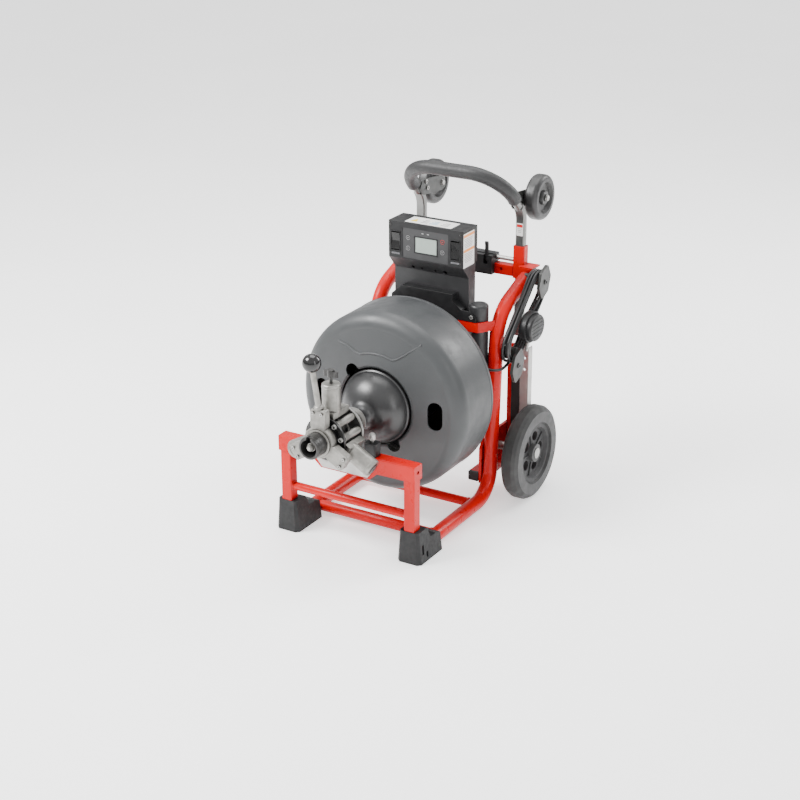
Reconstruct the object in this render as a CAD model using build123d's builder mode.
"""Drum drain snake machine on a wheeled tube frame.

Frame: +Z up, ground at z = 0, the operator and the cable outlet face -Y, X to the side.
The drum, the inner drum and the AUTO-feed head share one axis that runs along Y.
All sizes are in millimetres.
"""
import math
import os

from build123d import *

os.makedirs("parts", exist_ok=True)

# ---------------------------------------------------------------- driving dimensions
AXIS_Z = 330.0                 # height of the drum and feed axis
HALF_LENGTH = 468.0            # the machine runs from -468 to +468 along Y

TUBE_X = 181.0                 # centre planes of the side tubes and of the front legs
TUBE_R = 19.0
TUBE_WALL = 2.5
BASE_Z = 21.0
BASE_FRONT_Y = -240.0
REAR_BEND = (111.0, BASE_Z)    # Y and Z of the corner where the base tube turns up
TOP_BEND = (142.0, 512.0)      # Y and Z of the corner where it turns back
TUBE_END = (306.0, 571.5)

CROSS_FRONT_Y = -175.0
CROSS_R = 14.5

LEG = 30.0                     # square front legs
LEG_Y = -291.5
BRIDGE_TOP = 263.0
SHEET = 3.0

WHEEL_R = 127.0
WHEEL_W = 50.0
WHEEL_X = 256.0                # centre plane of each transport wheel
WHEEL_Y = 193.0
AXLE_R = 8.0

DRUM_R = 239.0
DRUM_FRONT_Y = -162.5
DRUM_BACK_Y = 34.5
DRUM_WALL = 4.0
DRUM_PARTING_Y = 8.0
MOUTH_R = 103.0
NOTCH_ANGLES = (130.0, -62.0)
SHAFT_R = 15.0
PULLEY_R = 80.0
PINION_R = 22.0
MOTOR_X = 138.0
MOTOR_Y = 122.0
PINION_Z = 378.0
BELT_Y = (46.0, 62.0)

BOX_X = 110.0
BOX_Y = (83.5, 156.5)
BOX_Z = (641.7, 738.0)
NECK_FRONT_Y = 116.0

SOCKET_X = 150.6               # telescoping handle legs
SOCKET_Y = 325.5
SOCKET_Z = (556.0, 645.0)
HANDLE_W = 26.0
HANDLE_D = 17.0
HANDLE_BEND_Z = 735.0
GRIP_Y = 213.5
GRIP_Z = 854.0
GRIP_CORNER_R = 99.0
FOAM_R = 18.4

LATCH_X = 61.0                 # latch lever on the top bar
LATCH_W = 9.0

LOAD_X = 161.0                 # small load wheels behind the handle
LOAD_Y = 407.0
LOAD_Z = 758.0
LOAD_R = 61.0
LOAD_W = 38.0
LOAD_BOLT_R = 5.0
LOAD_ARM_X = 135.4             # middle of each bracket plate
LOAD_ARM_T = 4.4

ROLLER_Y = -364.0              # plane of the three feed rollers
FEED_ANGLES = {"top": 90.0, "right": -30.0, "left": 210.0}
FORK_R = 14.95
FORK_BORE = 15.0
ROLLER_R = 13.0
ROLLER_C = 23.0                # distance of a roller's centre from the cable axis
SPIDER_Y = (-426.0, -406.0)
CABLE_R = 8.0

HOOK_UPPER = (286.0, 571.85)   # Y and Z of the two hose hooks on the right side tube
HOOK_LOWER = (151.0, 416.5)
HOOK_PLATES = ((290.0, 569.0), (148.0, 383.0))
HOOK_PLATE_TILT = -20.0
HOOK_PLATE_HALF = (28.0, 21.0, 48.0)    # half width, height of its shoulders, height of its points
HOSE_R = 3.8
COIL_ENDS = ((155.0, 432.0), (284.0, 556.0))
COIL_X = (205.0, 231.0)
COIL_R = (30.0, 52.0)
HOSE_LEAD = ((165.0, 77.5, 384.6), (217.0, 77.5, 384.6), (218.0, 127.0, 384.0))
HOSE_LEAD_BEND = 22.6
PEDAL = (211.5, 470.0)         # Y and Z of the stowed foot pedal


# ---------------------------------------------------------------- shared helpers
def save(piece, name):
    """Label a finished piece and write it to its own file."""
    piece.part.label = name
    export_step(piece.part, f"parts/{name}.step")


def front_plane(y, z=0.0, x=0.0):
    """A plane facing the operator: local x is +X, local y is +Z, extrusion goes to -Y."""
    return Plane(origin=(x, y, z), x_dir=(1, 0, 0), z_dir=(0, -1, 0))


def side_plane(x, y=0.0, z=0.0):
    """A plane facing +X: local x is +Y, local y is +Z."""
    return Plane(origin=(x, y, z), x_dir=(0, 1, 0), z_dir=(1, 0, 0))


def radial_plane(angle):
    """A plane across one feed arm: local z runs outwards from the cable axis."""
    turn = math.radians(angle)
    return Plane(origin=(0, ROLLER_Y, AXIS_Z), x_dir=(0, 1, 0),
                 z_dir=(math.cos(turn), 0, math.sin(turn)))


def side_tube_path(side):
    """Centre line of one side tube, from the foot back along the ground and up."""
    x = side * TUBE_X
    return FilletPolyline(
        (x, BASE_FRONT_Y, BASE_Z), (x, *REAR_BEND), (x, *TOP_BEND), (x, *TUBE_END),
        radius=[75.0, 108.0])


def side_tube_solid(side, radius=TUBE_R):
    """The outside of a side tube, used to cope what is welded to it."""
    with BuildPart() as solid:
        with BuildLine() as path:
            side_tube_path(side)
        with BuildSketch(Plane(origin=path.line @ 0, z_dir=path.line % 0)):
            Circle(radius)
        sweep()
    return solid.part


# ---------------------------------------------------------------- frame
def make_side_tubes():
    for side, name in ((-1, "side_tube_left"), (1, "side_tube_right")):
        with BuildPart() as tube:
            with BuildLine() as path:
                side_tube_path(side)
            with BuildSketch(Plane(origin=path.line @ 0, z_dir=path.line % 0)):
                Circle(TUBE_R)
                Circle(TUBE_R - TUBE_WALL, mode=Mode.SUBTRACT)
            sweep()
        save(tube, name)


def make_cross_members():
    """Welded cross pieces: two round base tubes, the front rail, the bearing carrier and the top bar."""
    reach = TUBE_X
    with BuildPart() as cross:
        with BuildSketch(side_plane(-reach)):
            with Locations((CROSS_FRONT_Y, BASE_Z)):
                Circle(CROSS_R)
                Circle(CROSS_R - 2, mode=Mode.SUBTRACT)
            with Locations((30.0, BASE_Z + 2)):
                Circle(12)
                Circle(10, mode=Mode.SUBTRACT)
        extrude(amount=2 * reach)
        with BuildSketch(side_plane(-reach)):
            with Locations((127.0, AXIS_Z)):
                RectangleRounded(30, 40, 4)
                Rectangle(24, 34, mode=Mode.SUBTRACT)
        extrude(amount=2 * reach)
        with BuildSketch(front_plane(142)):
            with Locations((0, AXIS_Z)):
                Circle(36)
        extrude(amount=50)
        with BuildSketch(front_plane(142)):
            with Locations((0, AXIS_Z)):
                Circle(SHAFT_R + 0.05)
        extrude(amount=50, mode=Mode.SUBTRACT)
        for side in (-1, 1):
            add(side_tube_solid(side), mode=Mode.SUBTRACT)
        inner = TUBE_X - LEG / 2
        with BuildSketch(side_plane(-inner)):
            with Locations((LEG_Y, 124)):
                Circle(11)
                Circle(9, mode=Mode.SUBTRACT)
        extrude(amount=2 * inner)
        sleeve = SOCKET_X - 16.5
        with BuildSketch(side_plane(-sleeve)):
            with Locations((SOCKET_Y, 574)):
                RectangleRounded(25, 30, 3)
                Rectangle(20, 25, mode=Mode.SUBTRACT)
        extrude(amount=2 * sleeve)
        for x in (-100, 100):
            with Locations(Location((x, SOCKET_Y, 576), (90, 0, 0))):
                Hole(4.5, depth=40)
    pieces = [s for s in cross.part.solids() if s.bounding_box().size.X > 60]
    with BuildPart() as kept:
        add(pieces)
    save(kept, "cross_members")


def make_motor_strap():
    """Flat bar in front of the motor that ties both side tubes together."""
    with BuildPart() as strap:
        with BuildSketch(Plane.XY.offset(474)):
            with BuildLine():
                FilletPolyline((-178, 133), (-152, 92), (152, 92), (178, 133), radius=12)
            trace(line_width=4)
        extrude(amount=26)
        for side in (-1, 1):
            add(side_tube_solid(side), mode=Mode.SUBTRACT)
    save(strap, "motor_strap")


def make_front_legs():
    with BuildPart() as legs:
        with BuildSketch(Plane.XY.offset(45)):
            with Locations((-TUBE_X, LEG_Y), (TUBE_X, LEG_Y)):
                RectangleRounded(LEG, LEG, 3)
                Rectangle(LEG - 5, LEG - 5, mode=Mode.SUBTRACT)
        extrude(amount=BRIDGE_TOP - SHEET - 45)
    save(legs, "front_legs")


def bridge_outline(inset):
    """Half-symmetric skirt outline of the bridge, shrunk by inset at the top and the ends."""
    end = TUBE_X + LEG / 2 + SHEET - inset
    top = BRIDGE_TOP - inset
    drop = inset * 4
    return [(-end, top), (-end, 223 - drop), (-92, 222 - drop), (-72, 204 - drop),
            (72, 204 - drop), (92, 222 - drop), (end, 223 - drop), (end, top)]


def make_front_bridge():
    """Folded sheet channel that caps both legs and carries the feed plate."""
    depth = LEG + 2 * SHEET
    front = LEG_Y - depth / 2
    with BuildPart() as bridge:
        with BuildSketch(front_plane(front + depth)):
            with BuildLine():
                Polyline(*bridge_outline(0), close=True)
            make_face()
        extrude(amount=depth)
        with BuildSketch(front_plane(front + depth - SHEET)):
            with BuildLine():
                Polyline(*bridge_outline(SHEET), close=True)
            make_face()
        extrude(amount=depth - 2 * SHEET, mode=Mode.SUBTRACT)
        top_edges = bridge.edges().filter_by(Axis.X).group_by(Axis.Z)[-1]
        fillet(top_edges, radius=2.5)
        for side in (-1, 1):
            with Locations(Location((side * (TUBE_X + 15), LEG_Y, 244), (0, 90, 0))):
                Hole(4.5, depth=20)
    save(bridge, "front_bridge")


def make_front_feet():
    """Moulded rubber blocks: a leg socket in front, a tube bore behind and a notch between."""
    with BuildPart() as feet:
        for side in (-1, 1):
            with BuildSketch(Plane.XY) as sole:
                with Locations((side * 180.5, -254.5)):
                    Rectangle(68.5, 111)
                outer = sole.vertices().sort_by(Axis.Y)[:2]
                chamfer(outer, 9)
            with BuildSketch(Plane.XY.offset(86)) as crown:
                with Locations((side * 180.5, -256)):
                    Rectangle(54, 104)
                outer = crown.vertices().sort_by(Axis.Y)[:2]
                chamfer(outer, 6)
            loft()
        with BuildSketch(side_plane(-220)):
            with BuildLine():
                Polyline((-190, 100), (-190, 46), (-226, 58), (-232, 55), (-250, 57),
                         (-262, 84), (-269, 100), close=True)
            make_face()
        extrude(amount=440, mode=Mode.SUBTRACT)
        for side in (-1, 1):
            with Locations((side * TUBE_X, LEG_Y, 68)):
                Box(LEG, LEG, 46, mode=Mode.SUBTRACT)
            with Locations(Location((side * TUBE_X, -218, BASE_Z), (90, 0, 0))):
                Cylinder(TUBE_R, 44, mode=Mode.SUBTRACT)
            for y, z, tall in ((-289, 36, 26), (-270, 18, 16)):
                with Locations(Location((side * 210, y, z), (0, 90, 0))):
                    Box(tall, 8, 26, mode=Mode.SUBTRACT)
    save(feet, "front_feet")


def make_handle_sockets():
    """Rectangular sleeves with a weld ear that reaches over the end of each side tube."""
    with BuildPart() as sockets:
        for side in (-1, 1):
            with BuildSketch(Plane.XY.offset(SOCKET_Z[0])):
                with Locations((side * SOCKET_X, SOCKET_Y)):
                    RectangleRounded(33, 25, 3)
            extrude(amount=SOCKET_Z[1] - SOCKET_Z[0])
            with BuildSketch(Plane.XY.offset(592.5)):
                with Locations((side * 180, 318)):
                    Rectangle(42, 44)
            extrude(amount=4)
            with Locations((side * 182, 304.5, 577)):
                Box(36, 23, 34)
            add(side_tube_solid(side), mode=Mode.SUBTRACT)
        with BuildSketch(Plane.XY.offset(SOCKET_Z[0])):
            with Locations((-SOCKET_X, SOCKET_Y), (SOCKET_X, SOCKET_Y)):
                RectangleRounded(HANDLE_W + 1, HANDLE_D + 1, 4)
        extrude(amount=SOCKET_Z[1] - SOCKET_Z[0], mode=Mode.SUBTRACT)
        for side in (-1, 1):
            with Locations(Location((side * 134, SOCKET_Y, 603), (0, 90, 0))):
                Cylinder(6.1, 20, mode=Mode.SUBTRACT)
    save(sockets, "handle_sockets")


def make_rear_brackets():
    """Welded side plates that hold the axle, each with a square arm inside and a rail flange."""
    with BuildPart() as brackets:
        for side in (-1, 1):
            with BuildSketch(side_plane(side * 160)):
                with BuildLine():
                    Polyline((98, 50), (98, 150), (118, 176), (252, 176), (252, 50), close=True)
                make_face()
            extrude(amount=4, both=True)
            with BuildSketch(side_plane(side * 171.5)):
                with Locations((246.5, 225)):
                    Rectangle(11, 350)
            extrude(amount=9.5, both=True)
            with BuildSketch(front_plane(252)):
                with Locations((side * 141, 67)):
                    RectangleRounded(30, 26, 3)
                    Rectangle(25, 21, mode=Mode.SUBTRACT)
            extrude(amount=150)
            add(side_tube_solid(side), mode=Mode.SUBTRACT)
        with Locations(Location((0, WHEEL_Y, WHEEL_R), (0, 90, 0))):
            Cylinder(AXLE_R, 400, mode=Mode.SUBTRACT)
    save(brackets, "rear_brackets")


def make_skid_rails():
    """Zinc-plated glide channels with a rounded top, one behind each wheel."""
    with BuildPart() as rails:
        for side in (-1, 1):
            with BuildSketch(front_plane(252.5)):
                with Locations((side * 216.5, 215)):
                    Rectangle(25, 360)
                with Locations((side * 216.5, 395)):
                    Circle(12.5)
            extrude(amount=22)
            with BuildSketch(Plane.XY.offset(30)):
                with Locations((side * 216.5, 244)):
                    Rectangle(20, 22)
            extrude(amount=400, mode=Mode.SUBTRACT)
            for z in (60, 200, 340, 372):
                with Locations(Location((side * 216.5, 232, z), (90, 0, 0))):
                    Cylinder(4, 12, mode=Mode.SUBTRACT)
    save(rails, "skid_rails")


def make_black_trim():
    """Moulded wear strips, end caps of the square arms and the stop block on the bridge."""
    with BuildPart() as trim:
        for side in (-1, 1):
            with BuildSketch(front_plane(254)):
                with Locations((side * 192.5, 206)):
                    RectangleRounded(23, 340, 6)
            extrude(amount=26)
            with BuildSketch(front_plane(102)):
                with Locations((side * 141, 67)):
                    RectangleRounded(30, 26, 3)
            extrude(amount=6)
        with BuildSketch(Plane.XY.offset(BRIDGE_TOP)):
            with Locations((70, -293)):
                RectangleRounded(34, 28, 5)
        extrude(amount=34)
    save(trim, "black_plastic_trim")


def make_axle():
    with BuildPart() as axle:
        with BuildSketch(side_plane(-WHEEL_X - 23.4)):
            with Locations((WHEEL_Y, WHEEL_R)):
                Circle(AXLE_R)
        extrude(amount=2 * WHEEL_X + 46.8)
        for side in (-1, 1):
            with Locations(Location((side * 198.8, WHEEL_Y, WHEEL_R), (0, 90, 0))):
                Cylinder(11.5, 69.6)
    save(axle, "axle")


# ---------------------------------------------------------------- wheels
def make_wheel(side, name):
    """Tyre and spoked rim of one transport wheel, both turned about the axle."""
    half = WHEEL_W / 2
    centre = (side * WHEEL_X, WHEEL_Y, WHEEL_R)
    section = Plane(origin=centre, x_dir=(1, 0, 0), z_dir=(0, -1, 0))
    axis = Axis(centre, (1, 0, 0))
    with BuildPart() as wheel:
        with BuildSketch(section):
            with BuildLine():
                Polyline((-half, 84), (-half, 112), (-half + 6, 122), (-half + 15, WHEEL_R),
                         (half - 15, WHEEL_R), (half - 6, 122), (half, 112), (half, 84),
                         (half - 6, 80), (-half + 6, 80), close=True)
            make_face()
        revolve(axis=axis)
        with BuildSketch(section):
            with BuildLine():
                Polyline((-half + 6, 80), (-half + 6, 70), (-9, 64), (9, 64), (half - 6, 70),
                         (half - 6, 80), close=True)
            make_face()
            with BuildLine():
                Polyline((-9, 64), (-9, 24), (9, 24), (9, 64), close=True)
            make_face()
            with BuildLine():
                Polyline((-22, 24), (-22, 8.06), (22, 8.06), (22, 24), close=True)
            make_face()
        revolve(axis=axis)
        with BuildSketch(side_plane(side * WHEEL_X - 12, WHEEL_Y, WHEEL_R)):
            with PolarLocations(44, 5):
                Ellipse(13, 15)
        extrude(amount=24, mode=Mode.SUBTRACT)
    save(wheel, name)


def make_load_wheel(side, name):
    centre = (side * LOAD_X, LOAD_Y, LOAD_Z)
    section = Plane(origin=centre, x_dir=(1, 0, 0), z_dir=(0, -1, 0))
    half = LOAD_W / 2
    with BuildPart() as wheel:
        with BuildSketch(section):
            with BuildLine() as outline:
                Line((-half, 42), (-half, 50))
                ThreePointArc((-half, 50), (-half + 3.5, 57.5), (-half + 12, LOAD_R))
                Line((-half + 12, LOAD_R), (half - 12, LOAD_R))
                ThreePointArc((half - 12, LOAD_R), (half - 3.5, 57.5), (half, 50))
                Polyline((half, 50), (half, 42), (10, 36), (10, 20), (half - 1, 17),
                         (half - 1, LOAD_BOLT_R + 0.06), (1 - half, LOAD_BOLT_R + 0.06),
                         (1 - half, 17), (-10, 20), (-10, 36), (-half, 42))
            make_face()
        revolve(axis=Axis(centre, (1, 0, 0)))
    save(wheel, name)


# ---------------------------------------------------------------- drum
def axis_section():
    """Half section through the drum axis: local x is +Y, local y is the radius."""
    return Plane(origin=(0, 0, AXIS_Z), x_dir=(0, 1, 0), z_dir=(1, 0, 0))


def make_drum_front():
    wall = DRUM_WALL
    face = DRUM_FRONT_Y
    with BuildPart() as shell:
        with BuildSketch(axis_section()):
            with BuildLine():
                Polyline((face + 8, MOUTH_R), (face + 2, MOUTH_R), (face, MOUTH_R + 5),
                         (face + 13, 200))
                ThreePointArc((face + 13, 200), (face + 24.42, 227.58), (face + 52, DRUM_R))
                Polyline((face + 52, DRUM_R), (DRUM_PARTING_Y, DRUM_R),
                         (DRUM_PARTING_Y, DRUM_R - wall), (face + 52, DRUM_R - wall))
                ThreePointArc((face + 52, DRUM_R - wall), (face + 27.25, 224.75), (face + 17, 200))
                Polyline((face + 17, 200), (face + 4, MOUTH_R + 6), (face + 8, MOUTH_R + 4),
                         (face + 8, MOUTH_R))
            make_face()
        revolve(axis=Axis((0, 0, AXIS_Z), (0, 1, 0)))
        with BuildSketch(front_plane(face + 25, AXIS_Z)):
            for angle in NOTCH_ANGLES:
                with PolarLocations(MOUTH_R + 4, 1, start_angle=angle):
                    Circle(19.5)
            with Locations((-166, 3), (166, 3)):
                SlotOverall(75, 40, rotation=90)
        extrude(amount=40, mode=Mode.SUBTRACT)
    save(shell, "drum_front_shell")


def make_drum_rear():
    wall = DRUM_WALL
    back = DRUM_BACK_Y
    with BuildPart() as shell:
        with BuildSketch(axis_section()):
            with BuildLine():
                Polyline((DRUM_PARTING_Y, DRUM_R - wall), (DRUM_PARTING_Y, DRUM_R), (10, DRUM_R))
                ThreePointArc((10, DRUM_R), (27, 232), (back, 215))
                Polyline((back, 215), (back, SHAFT_R + 1), (back - wall, SHAFT_R + 1),
                         (back - wall, 213))
                ThreePointArc((back - wall, 213), (24, 229), (10, DRUM_R - wall))
                Line((10, DRUM_R - wall), (DRUM_PARTING_Y, DRUM_R - wall))
            make_face()
        revolve(axis=Axis((0, 0, AXIS_Z), (0, 1, 0)))
    save(shell, "drum_rear_shell")


def make_drum_pulley():
    """Drive pulley with its flange plate and the drum shaft, bolted to the back of the drum."""
    with BuildPart() as pulley:
        with BuildSketch(axis_section()):
            with BuildLine():
                Polyline((0, 0), (0, SHAFT_R), (DRUM_BACK_Y, SHAFT_R), (DRUM_BACK_Y, 70), (39, 70),
                         (39, 40), (43, 40), (43, PULLEY_R + 5), (45.5, PULLEY_R + 5),
                         (45.5, PULLEY_R), (62.5, PULLEY_R), (62.5, PULLEY_R + 5),
                         (65, PULLEY_R + 5), (65, 26), (91, 26), (91, SHAFT_R),
                         (150, SHAFT_R), (150, 0), close=True)
            make_face()
        revolve(axis=Axis((0, 0, AXIS_Z), (0, 1, 0)))
        with BuildSketch(front_plane(70, AXIS_Z)):
            with PolarLocations(53, 6):
                Circle(15)
        extrude(amount=28, mode=Mode.SUBTRACT)
    save(pulley, "drum_pulley")


def make_cable_turns():
    """The stored drain cable: three layers of closed turns against the inside of the drum."""
    pitch = 2 * CABLE_R + 1
    with BuildPart() as turns:
        for layer in range(3):
            radius = DRUM_R - DRUM_WALL - CABLE_R - 0.05 - layer * pitch
            for turn in range(7):
                y = -98 + turn * pitch + layer % 2 * pitch / 2
                with Locations(Location((0, y, AXIS_Z), (90, 0, 0))):
                    Torus(radius, CABLE_R)
    save(turns, "drain_cable_turns")


def make_inner_drum():
    """Bell-shaped inner drum: open neck in front, dome, cylinder and a bushed rear disc."""
    with BuildPart() as bell:
        with BuildSketch(axis_section()):
            with BuildLine():
                Line((-256, 25), (-246, 25))
                ThreePointArc((-246, 25), (-235, 29), (-226, 42))
                ThreePointArc((-226, 42), (-203, 76), (-166, 94))
                Polyline((-166, 94), (-163, 97), (-154, 97), (-152, 94), (12, 94), (12, SHAFT_R + 0.06),
                         (6, SHAFT_R + 0.06), (6, 90), (-152, 90), (-166, 90))
                ThreePointArc((-166, 90), (-201, 72), (-222, 42))
                ThreePointArc((-222, 42), (-233, 25), (-246, 20))
                Polyline((-246, 20), (-256, 20), (-256, 25))
            make_face()
        revolve(axis=Axis((0, 0, AXIS_Z), (0, 1, 0)))
        with BuildSketch(front_plane(-20, AXIS_Z)):
            with Locations((0, 92)):
                SlotOverall(60, 26)
        extrude(amount=60, mode=Mode.SUBTRACT)
    save(bell, "inner_drum")


def make_cable_end():
    """The straight run of the cable through the feed head, with its end coupling."""
    with BuildPart() as cable:
        with BuildSketch(axis_section()):
            with BuildLine():
                Polyline((-190, 0), (-190, CABLE_R), (-448, CABLE_R), (-448, 0), close=True)
            make_face()
        revolve(axis=Axis((0, 0, AXIS_Z), (0, 1, 0)))
        with BuildSketch(axis_section()):
            with BuildLine():
                Polyline((-448, 0), (-448, 11), (-456, 11), (-456, 9), (-HALF_LENGTH + 6, 9),
                         (-HALF_LENGTH + 1, 5), (-HALF_LENGTH + 1, 0), close=True)
            make_face()
        revolve(axis=Axis((0, 0, AXIS_Z), (0, 1, 0)))
    save(cable, "drain_cable_end")


# ---------------------------------------------------------------- drive
def make_gear_motor():
    """Right-angle gearbox with an upright motor can."""
    with BuildPart() as motor:
        with Locations((136, 106, 377)):
            Box(48, 76, 54)
        fillet(motor.edges().filter_by(Axis.Z), 3)
        with Locations((MOTOR_X, MOTOR_Y, 404)):
            Cylinder(25, 139, align=(Align.CENTER, Align.CENTER, Align.MIN))
        fillet(motor.faces().sort_by(Axis.Z)[-1].edges(), 9)
        with BuildSketch(front_plane(98, PINION_Z, MOTOR_X)):
            Circle(7.06)
        extrude(amount=40, mode=Mode.SUBTRACT)
    save(motor, "gear_motor")


def make_motor_pulley():
    with BuildPart() as pinion:
        with BuildSketch(front_plane(64.5, PINION_Z, MOTOR_X)):
            Circle(PINION_R)
        extrude(amount=21)
        for y in (44.5, 64.5):
            with BuildSketch(front_plane(y, PINION_Z, MOTOR_X)):
                Circle(PINION_R + 4.5)
            extrude(amount=1)
        with BuildSketch(front_plane(96, PINION_Z, MOTOR_X)):
            Circle(7)
        extrude(amount=56)
    save(pinion, "motor_pulley")


def make_drive_belt():
    """Flat ribbed belt round both pulleys with a small running gap."""
    with BuildPart() as belt:
        for grow, mode in ((3.3, Mode.ADD), (0.3, Mode.SUBTRACT)):
            with BuildSketch(front_plane(BELT_Y[1])):
                with Locations((0, AXIS_Z)):
                    Circle(PULLEY_R + grow)
                with Locations((MOTOR_X, PINION_Z)):
                    Circle(PINION_R + grow)
                make_hull()
            extrude(amount=BELT_Y[1] - BELT_Y[0], mode=mode)
    save(belt, "drive_belt")


def make_drive_cover():
    """Black moulded cover in front of the neck and the motor."""
    with BuildPart() as cover:
        with BuildSketch(front_plane(92)):
            with BuildLine():
                Polyline((-104, 501), (-104, 540), (-74, 566), (78, 566), (78, 548), (104, 528),
                         (126, 528), (146, 514), (146, 501), close=True)
            make_face()
        extrude(amount=4)
        with BuildSketch(front_plane(116)):
            with BuildLine():
                Polyline((-104, 501), (-104, 540), (-74, 566), (78, 566), (78, 548), (104, 528),
                         (104, 501), close=True)
            make_face()
            offset(amount=-3, kind=Kind.INTERSECTION, mode=Mode.SUBTRACT)
        extrude(amount=24)
    save(cover, "drive_cover")


# ---------------------------------------------------------------- control tower
def make_control_neck():
    """Folded channel that stands on the bearing carrier and flares out under the box."""
    front, back = NECK_FRONT_Y, 151.0
    slope_top = BOX_Z[0]
    with BuildPart() as neck:
        with BuildSketch(side_plane(-BOX_X)):
            with BuildLine():
                Polyline((BOX_Y[0] + 1, slope_top), (front, 606), (front, 350), (back, 350),
                         (back, slope_top), close=True)
            make_face()
        extrude(amount=2 * BOX_X)
        with BuildSketch(side_plane(-BOX_X + SHEET)):
            with BuildLine():
                Polyline((BOX_Y[0] + 5, slope_top + 1), (front + SHEET, 607), (front + SHEET, 349),
                         (back + 1, 349), (back + 1, slope_top + 1), close=True)
            make_face()
        extrude(amount=2 * (BOX_X - SHEET), mode=Mode.SUBTRACT)
        for x, radius in ((-50, 5), (-24, 3), (16, 3), (45, 5)):
            with Locations(Location((x, front - 4, 614), (90, 0, 0))):
                Cylinder(radius, 30, mode=Mode.SUBTRACT)
        with Locations(Location((0, front, AXIS_Z), (90, 0, 0))):
            Cylinder(37, 60, mode=Mode.SUBTRACT)
    save(neck, "control_neck")


def make_control_box():
    """Moulded shell, open behind, with windows for the keypad and the two switches."""
    width, depth, height = 2 * BOX_X, BOX_Y[1] - BOX_Y[0], BOX_Z[1] - BOX_Z[0]
    middle = (BOX_Y[0] + BOX_Y[1]) / 2, (BOX_Z[0] + BOX_Z[1]) / 2
    with BuildPart() as box:
        with Locations((0, *middle)):
            Box(width, depth, height)
        fillet(box.edges().filter_by(Axis.Z).group_by(Axis.Y)[0], 4)
        with Locations((0, middle[0] + 2, middle[1])):
            Box(width - 6, depth - 2, height - 6, mode=Mode.SUBTRACT)
        with BuildSketch(front_plane(BOX_Y[0] + 5)):
            with Locations((0, 684.5)):
                RectangleRounded(134, 80, 3)
            with Locations((-87.5, 686), (87.5, 686)):
                RectangleRounded(25, 50, 2)
        extrude(amount=10, mode=Mode.SUBTRACT)
    save(box, "control_box")


def make_keypad_panel():
    """Membrane keypad with a framed display glass, set back a little in its window."""
    with BuildPart() as panel:
        with BuildSketch(front_plane(BOX_Y[0] + 4.5)):
            with Locations((0, 684.5)):
                RectangleRounded(134, 80, 3)
                with Locations((1.5, -1)):
                    RectangleRounded(64, 41, 2, mode=Mode.SUBTRACT)
        extrude(amount=3.5)
        with BuildSketch(front_plane(BOX_Y[0] + 4.5)):
            with Locations((1.5, 683.5)):
                RectangleRounded(63.8, 40.8, 2)
        extrude(amount=2)
    save(panel, "keypad_display")


def make_switches():
    """Rocker switches that tilt about a level axis in the middle of their windows."""
    for side, name in ((-1, "switch_left"), (1, "switch_right")):
        x = side * 87.5
        with BuildPart() as rocker:
            with BuildSketch(side_plane(x - 11.5)):
                with BuildLine():
                    Polyline((BOX_Y[0] - 2, 708), (BOX_Y[0] + 1.5, 686), (BOX_Y[0] - 2, 664),
                             (BOX_Y[0] + 13, 668), (BOX_Y[0] + 15, 686), (BOX_Y[0] + 13, 704),
                             close=True)
                make_face()
            extrude(amount=23)
            with Locations(Location((x, BOX_Y[0] + 10, 686), (0, 90, 0))):
                Hole(2.05)
        save(rocker, name)


def make_battery_dock():
    """Rear cover of the control box, with two slide rails and a contact block for a battery."""
    with BuildPart() as dock:
        with Locations((0, BOX_Y[1] + 1.5, 689.85)):
            Box(2 * BOX_X, 3, 96.3)
        with Locations((0, 153, 560)):
            Box(2 * BOX_X - 8, 4, 160)
        for x in (-42, 42):
            with Locations((x, 164, 555)):
                Box(8, 18, 130)
            with Locations((x * 0.86, 170, 555)):
                Box(8, 6, 130)
        with Locations((0, 163, 604)):
            Box(50, 16, 22)
        for x in (-87.5, 87.5):
            with Locations(Location((x, BOX_Y[0] + 10, 686), (0, 90, 0))):
                Cylinder(2, 27)
            with Locations((x - 13, 125, 686), (x + 13, 125, 686)):
                Box(1.6, 66, 12)
    save(dock, "battery_dock")


# ---------------------------------------------------------------- handle and latch
def make_handle_tube():
    """Rectangular telescoping legs, and the round bow that the grip covers."""
    turn = math.atan2(SOCKET_Y - GRIP_Y, GRIP_Z - HANDLE_BEND_Z)
    tangent = 60 * math.tan(turn / 2)
    start = Vector(0, SOCKET_Y - tangent * math.sin(turn), HANDLE_BEND_Z + tangent * math.cos(turn))
    run = Vector(0, -math.sin(turn), math.cos(turn))
    joint = start + run * 2
    with BuildPart() as handle:
        for side in (-1, 1):
            x = side * SOCKET_X
            with BuildLine() as leg:
                FilletPolyline((x, SOCKET_Y, 395), (x, SOCKET_Y, HANDLE_BEND_Z), (x, joint.Y, joint.Z),
                               radius=60)
            with BuildSketch(Plane(origin=leg.line @ 0, x_dir=(1, 0, 0), z_dir=leg.line % 0)):
                RectangleRounded(HANDLE_W, HANDLE_D, 4)
                RectangleRounded(HANDLE_W - 4, HANDLE_D - 4, 2, mode=Mode.SUBTRACT)
            sweep()
            with Locations(Location((side * (SOCKET_X - 13), SOCKET_Y, 603), (0, 90, 0))):
                Cylinder(6.1, 12, mode=Mode.SUBTRACT)
        with BuildLine() as bow:
            FilletPolyline((-SOCKET_X, joint.Y, joint.Z), (-SOCKET_X, GRIP_Y, GRIP_Z),
                           (SOCKET_X, GRIP_Y, GRIP_Z), (SOCKET_X, joint.Y, joint.Z),
                           radius=GRIP_CORNER_R)
        with BuildSketch(Plane(origin=bow.line @ 0, z_dir=bow.line % 0)):
            Circle(11)
        sweep()
    save(handle, "handle_tube")


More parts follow.
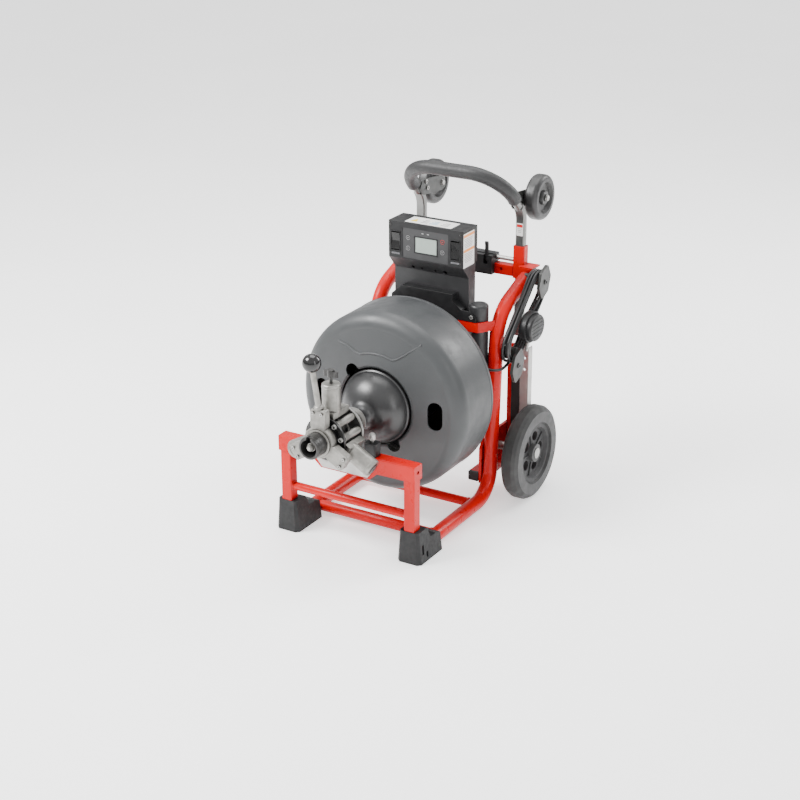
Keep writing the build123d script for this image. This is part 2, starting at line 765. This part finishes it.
def make_foam_grip():
    turn = math.atan2(SOCKET_Y - GRIP_Y, GRIP_Z - HANDLE_BEND_Z)
    with BuildPart() as grip:
        start_y = GRIP_Y + (GRIP_CORNER_R + 5) * math.sin(turn)
        start_z = GRIP_Z - (GRIP_CORNER_R + 5) * math.cos(turn)
        with BuildLine() as bow:
            FilletPolyline((-SOCKET_X, start_y, start_z), (-SOCKET_X, GRIP_Y, GRIP_Z),
                           (SOCKET_X, GRIP_Y, GRIP_Z), (SOCKET_X, start_y, start_z),
                           radius=GRIP_CORNER_R)
        with BuildSketch(Plane(origin=bow.line @ 0, z_dir=bow.line % 0)):
            Circle(FOAM_R)
            Circle(11, mode=Mode.SUBTRACT)
        sweep()
    save(grip, "foam_grip")


def make_load_brackets():
    """Flat arms from the handle legs to the load wheels, each with its axle bolt."""
    with BuildPart() as arms:
        for side in (-1, 1):
            with BuildSketch(side_plane(side * LOAD_ARM_X)):
                with BuildLine():
                    FilletPolyline((288, 768), (303, 790), (420, 777), (426, 744), (404, 737),
                                   (306, 746), radius=7, close=True)
                make_face()
            extrude(amount=LOAD_ARM_T / 2, both=True)
            inner, outer = LOAD_ARM_X - 2, LOAD_X + LOAD_W / 2 + 2.4
            with Locations(Location((side * (inner + outer) / 2, LOAD_Y, LOAD_Z), (0, 90, 0))):
                Cylinder(LOAD_BOLT_R, outer - inner)
            with Locations(Location((side * 139.5, LOAD_Y, LOAD_Z), (0, 90, 0))):
                Cylinder(9, 4)
            with Locations(Location((side * (outer - 1.5), LOAD_Y, LOAD_Z), (0, 90, 0))):
                Cylinder(9, 3)
    save(arms, "load_wheel_brackets")


def make_latch():
    """Housing on the top bar, its lever, and the two pins that reach for the handle legs."""
    with BuildPart() as housing:
        with Locations((0, 305, 586)):
            Box(160, 16, 52)
        with Locations((0, 326.5, 602)):
            Box(160, 27, 24)
        fillet(housing.edges().filter_by(Axis.X).group_by(Axis.Z)[-1].sort_by(Axis.Y)[-1], 4)
        for side in (-1, 1):
            with Locations(Location((side * 60, SOCKET_Y, 603), (0, 90, 0))):
                Cylinder(6.06, 48, mode=Mode.SUBTRACT)
        with Locations((LATCH_X, 300.6, 602)):
            Box(LATCH_W + 3, 21.4, 30, mode=Mode.SUBTRACT)
        with Locations(Location((LATCH_X, 305, 599), (0, 90, 0))):
            Cylinder(2.56, LATCH_W + 21, mode=Mode.SUBTRACT)
    save(housing, "latch_housing")
    with BuildPart() as lever:
        with BuildSketch(side_plane(LATCH_X - LATCH_W / 2)):
            with BuildLine():
                FilletPolyline((302, 593), (302, 638), (300.5, 648), (306, 648), (308, 638),
                               (308, 593), radius=1.2, close=True)
            make_face()
        extrude(amount=LATCH_W)
        with Locations(Location((LATCH_X, 305, 599), (0, 90, 0))):
            Cylinder(2.5, LATCH_W + 15)
    save(lever, "latch_lever")
    for side, name in ((-1, "lock_pin_left"), (1, "lock_pin_right")):
        with BuildPart() as pin:
            with Locations(Location((side * 98.5, SOCKET_Y, 603), (0, 90, 0))):
                Cylinder(6, 77)
            chamfer(pin.edges().filter_by(GeomType.CIRCLE), 1)
        save(pin, name)


# ---------------------------------------------------------------- feed head
def make_feed_plate():
    """Zinc plate on the front of the bridge, with a round tongue behind the feed head."""
    with BuildPart() as plate:
        with BuildSketch(front_plane(LEG_Y - LEG / 2 - SHEET)):
            with BuildLine():
                Polyline((-86, 262), (-90, 238), (-66, 208), (66, 208), (90, 238), (86, 262),
                         close=True)
            make_face()
            with Locations((0, 292)):
                Rectangle(90, 76)
            with Locations((0, AXIS_Z)):
                Circle(45)
                Circle(22, mode=Mode.SUBTRACT)
        extrude(amount=3)
    save(plate, "feed_plate")


def make_feed_cage():
    """Back and front discs of the feed head joined by six posts."""
    with BuildPart() as cage:
        with BuildSketch(front_plane(-312.5, AXIS_Z)):
            Circle(58.5)
            Circle(22, mode=Mode.SUBTRACT)
        extrude(amount=7.5)
        with BuildSketch(front_plane(-320, AXIS_Z)):
            for middle in (30, 150, 270):
                for spread in (-22, 22):
                    with PolarLocations(47, 1, start_angle=middle + spread):
                        Circle(8)
        extrude(amount=70)
        with BuildSketch(front_plane(-390, AXIS_Z)):
            Circle(56)
            Circle(24, mode=Mode.SUBTRACT)
        extrude(amount=6)
    save(cage, "feed_cage")


def make_feed_housings():
    """Three radial housings; the upper one is tapped for the tension screw."""
    with BuildPart() as housings:
        for angle in FEED_ANGLES.values():
            plane = radial_plane(angle)
            with BuildSketch(plane.offset(50)):
                with Locations((-355 - ROLLER_Y, 0)):
                    Rectangle(70, 44)
            extrude(amount=16)
            with BuildSketch(plane.offset(60)):
                Circle(23)
            extrude(amount=73)
            with BuildSketch(plane.offset(46)):
                Circle(FORK_BORE)
            extrude(amount=55.4, mode=Mode.SUBTRACT)
            outer = housings.faces().sort_by(Axis(plane.origin, plane.z_dir))[-1]
            chamfer(outer.edges(), 2)
        with BuildSketch(radial_plane(90).offset(98)):
            Circle(4.05)
        extrude(amount=40, mode=Mode.SUBTRACT)
    save(housings, "feed_housings")


def make_forks_and_rollers():
    """Swivelling forks, each with a cross pin that carries one feed roller."""
    for place, angle in FEED_ANGLES.items():
        plane = radial_plane(angle)
        with BuildPart() as fork:
            with BuildSketch(plane.offset(12)):
                Circle(FORK_R)
            extrude(amount=88)
            with BuildSketch(plane.offset(8)):
                Rectangle(10.4, 40)
            extrude(amount=31, mode=Mode.SUBTRACT)
            with Locations(plane.offset(ROLLER_C)):
                with Locations(Location((0, 0, 0), (0, 90, 0))):
                    Cylinder(2.5, 24)
        save(fork, f"roller_fork_{place}")
        with BuildPart() as roller:
            with Locations(plane.offset(ROLLER_C)):
                with Locations(Location((0, 0, 0), (0, 90, 0))):
                    Cylinder(ROLLER_R, 9)
                    Cylinder(2.56, 9, mode=Mode.SUBTRACT)
            chamfer(roller.edges().filter_by(GeomType.CIRCLE).sort_by(SortBy.RADIUS)[-2:], 1)
        save(roller, f"roller_{place}")


def make_tension_knob():
    with BuildPart() as knob:
        with Locations((0, ROLLER_Y, 431.4)):
            Cylinder(4, 52, align=(Align.CENTER, Align.CENTER, Align.MIN))
        with Locations((0, ROLLER_Y, 480)):
            Cylinder(9, 18, align=(Align.CENTER, Align.CENTER, Align.MIN))
            Box(38, 9, 14, align=(Align.CENTER, Align.CENTER, Align.MIN))
        fillet(knob.edges().filter_by(Axis.Z), 3)
    save(knob, "tension_knob")


def make_nose_sleeve():
    """Outlet sleeve with a rear flange and a shallow slot across its mouth."""
    with BuildPart() as nose:
        with BuildSketch(axis_section()):
            with BuildLine():
                Polyline((-396, 22), (-396, 36), (-404, 36), (-404, 28.5), (-HALF_LENGTH + 2, 28.5),
                         (-HALF_LENGTH, 26.5), (-HALF_LENGTH, 22), close=True)
            make_face()
        revolve(axis=Axis((0, 0, AXIS_Z), (0, 1, 0)))
        with Locations((0, -HALF_LENGTH, AXIS_Z + 28)):
            Box(12, 28, 20, mode=Mode.SUBTRACT)
    save(nose, "nose_sleeve")


def make_guide_tube():
    """Tube between the inner drum's neck and the feed head."""
    with BuildPart() as guide:
        with BuildSketch(axis_section()):
            with BuildLine():
                Polyline((-320, 18), (-320, 22), (-265, 22), (-265, 33), (-262, 33), (-262, 18),
                         close=True)
            make_face()
        revolve(axis=Axis((0, 0, AXIS_Z), (0, 1, 0)))
    save(guide, "guide_tube")


def make_feed_lever():
    """Three-armed ring on the outlet sleeve with an upright operating rod."""
    depth = SPIDER_Y[1] - SPIDER_Y[0]
    with BuildPart() as lever:
        with BuildSketch(front_plane(SPIDER_Y[1], AXIS_Z)):
            Circle(40)
            for angle in FEED_ANGLES.values():
                turn = math.radians(angle)
                middle = (60 * math.cos(turn), 60 * math.sin(turn))
                with Locations(Location((middle[0], middle[1], 0), (0, 0, angle))):
                    RectangleRounded(52, 42, 8)
            Circle(28.56, mode=Mode.SUBTRACT)
        extrude(amount=depth)
        with BuildLine() as rod:
            Line((0, -417, 408), (0, -443, 528))
        with BuildSketch(Plane(origin=rod.line @ 0, z_dir=rod.line % 0)):
            Circle(7)
        sweep()
    save(lever, "feed_lever")
    with BuildPart() as knob:
        with Locations((0, -445, 541)):
            Sphere(23)
        with BuildLine() as rod:
            Line((0, -417, 408), (0, -443, 528))
        with BuildSketch(Plane(origin=rod.line @ 0, z_dir=rod.line % 0)):
            Circle(7)
        sweep(mode=Mode.SUBTRACT)
    save(knob, "lever_knob")


# ---------------------------------------------------------------- hose and foot pedal
def make_cord_hooks():
    """Two bars welded to the right side tube, each closed by an oval plate."""
    with BuildPart() as hooks:
        for arm, plate in ((HOOK_UPPER, HOOK_PLATES[0]), (HOOK_LOWER, HOOK_PLATES[1])):
            with BuildSketch(side_plane(185)):
                with Locations(arm):
                    RectangleRounded(12, 28, 5.5)
            extrude(amount=49)
            across, shoulder, point = HOOK_PLATE_HALF
            with BuildSketch(side_plane(234)) as outline:
                with Locations(Location((*plate, 0), (0, 0, HOOK_PLATE_TILT))):
                    Polygon((0, point), (across, shoulder), (across, -shoulder), (0, -point),
                            (-across, -shoulder), (-across, shoulder))
                fillet(outline.vertices(), 9)
            extrude(amount=8)
            with BuildSketch(side_plane(231.6)):
                with Locations(Location((*plate, 0), (0, 0, HOOK_PLATE_TILT))):
                    Ellipse(19, 30)
            extrude(amount=2.4)
        add(side_tube_solid(1), mode=Mode.SUBTRACT)
    save(hooks, "cord_hooks")


def make_hose():
    """Rubber air hose: gland, lead and the closed shape of the stowed coil."""
    first, corner, last = HOSE_LEAD
    with BuildPart() as gland:
        with Locations(Location((162.5, first[1], first[2]), (0, 90, 0))):
            Cylinder(6.5, 5)
    save(gland, "hose_gland")
    with BuildPart() as lead:
        with BuildLine() as path:
            FilletPolyline(first, corner, last, radius=HOSE_LEAD_BEND)
        with BuildSketch(Plane(origin=path.line @ 0, z_dir=path.line % 0)):
            Circle(HOSE_R)
        sweep()
    save(lead, "hose_lead")
    length = sum(edge.length for edge in path.line.edges())
    section = math.pi * HOSE_R ** 2
    print("hose lead bend radius", HOSE_LEAD_BEND, "length", round(length, 1),
          "volume ratio", round(lead.part.volume / (section * length), 4))
    with BuildPart() as coil:
        for radius, mode in ((COIL_R[1], Mode.ADD), (COIL_R[0], Mode.SUBTRACT)):
            with BuildSketch(side_plane(COIL_X[0])):
                for end in COIL_ENDS:
                    with Locations(end):
                        Circle(radius)
                make_hull()
            extrude(amount=COIL_X[1] - COIL_X[0], mode=mode)
        direction = (Vector(*last) - Vector(*corner)).normalized()
        with BuildSketch(Plane(origin=last, z_dir=direction)):
            Circle(HOSE_R)
        extrude(amount=26)
    save(coil, "hose_coil")


def make_pedal():
    """Foot pedal stowed against the coil: a shallow base and a sprung plate."""
    with BuildPart() as base:
        with BuildSketch(side_plane(231)):
            with Locations(PEDAL):
                Ellipse(47.5, 41)
        extrude(amount=17)
        with BuildSketch(side_plane(236)):
            with Locations(PEDAL):
                Ellipse(43, 36.5)
        extrude(amount=12, mode=Mode.SUBTRACT)
    save(base, "pedal_base")
    with BuildPart() as plate:
        with BuildSketch(side_plane(243)):
            with Locations(PEDAL):
                Ellipse(42, 35.5)
        extrude(amount=20)
        fillet(plate.faces().sort_by(Axis.X)[-1].edges(), 5)
    save(plate, "pedal_plate")


# ---------------------------------------------------------------- fasteners and small trim
def make_fasteners():
    """Bright screws and caps, all fixed to the frame and the feed head."""
    with BuildPart() as screws:
        with BuildSketch(front_plane(-396, AXIS_Z)):
            for middle in (30, 150, 270):
                for spread in (-22, 22):
                    with PolarLocations(47, 1, start_angle=middle + spread):
                        Circle(6.5)
        extrude(amount=6)
        for side in (-1, 1):
            with Locations(Location((side * 280.2, WHEEL_Y, WHEEL_R), (0, 90, 0))):
                Cylinder(14, 1.6)
        with Locations((70, -293, 297)):
            Cylinder(8, 24, align=(Align.CENTER, Align.CENTER, Align.MIN))
        with BuildSketch(front_plane(88, 514, 134)):
            Circle(5)
        extrude(amount=3)
        for place in HOOK_PLATES:
            with BuildSketch(side_plane(242)):
                with Locations(place):
                    Circle(7)
            extrude(amount=3)
        for x in (-52, 0, 52):
            with BuildSketch(front_plane(-312.5, 232, x)):
                RegularPolygon(6.5, 6)
            extrude(amount=4)
    save(screws, "fasteners")


make_side_tubes()
make_cross_members()
make_motor_strap()
make_front_legs()
make_front_bridge()
make_front_feet()
make_handle_sockets()
make_rear_brackets()
make_skid_rails()
make_black_trim()
make_axle()
make_wheel(-1, "wheel_left")
make_wheel(1, "wheel_right")
make_load_wheel(-1, "load_wheel_left")
make_load_wheel(1, "load_wheel_right")
make_drum_front()
make_drum_rear()
make_drum_pulley()
make_cable_turns()
make_inner_drum()
make_cable_end()
make_gear_motor()
make_motor_pulley()
make_drive_belt()
make_drive_cover()
make_control_neck()
make_control_box()
make_keypad_panel()
make_switches()
make_battery_dock()
make_handle_tube()
make_foam_grip()
make_load_brackets()
make_latch()
make_feed_plate()
make_feed_cage()
make_feed_housings()
make_forks_and_rollers()
make_tension_knob()
make_nose_sleeve()
make_guide_tube()
make_feed_lever()
make_cord_hooks()
make_hose()
make_pedal()
make_fasteners()
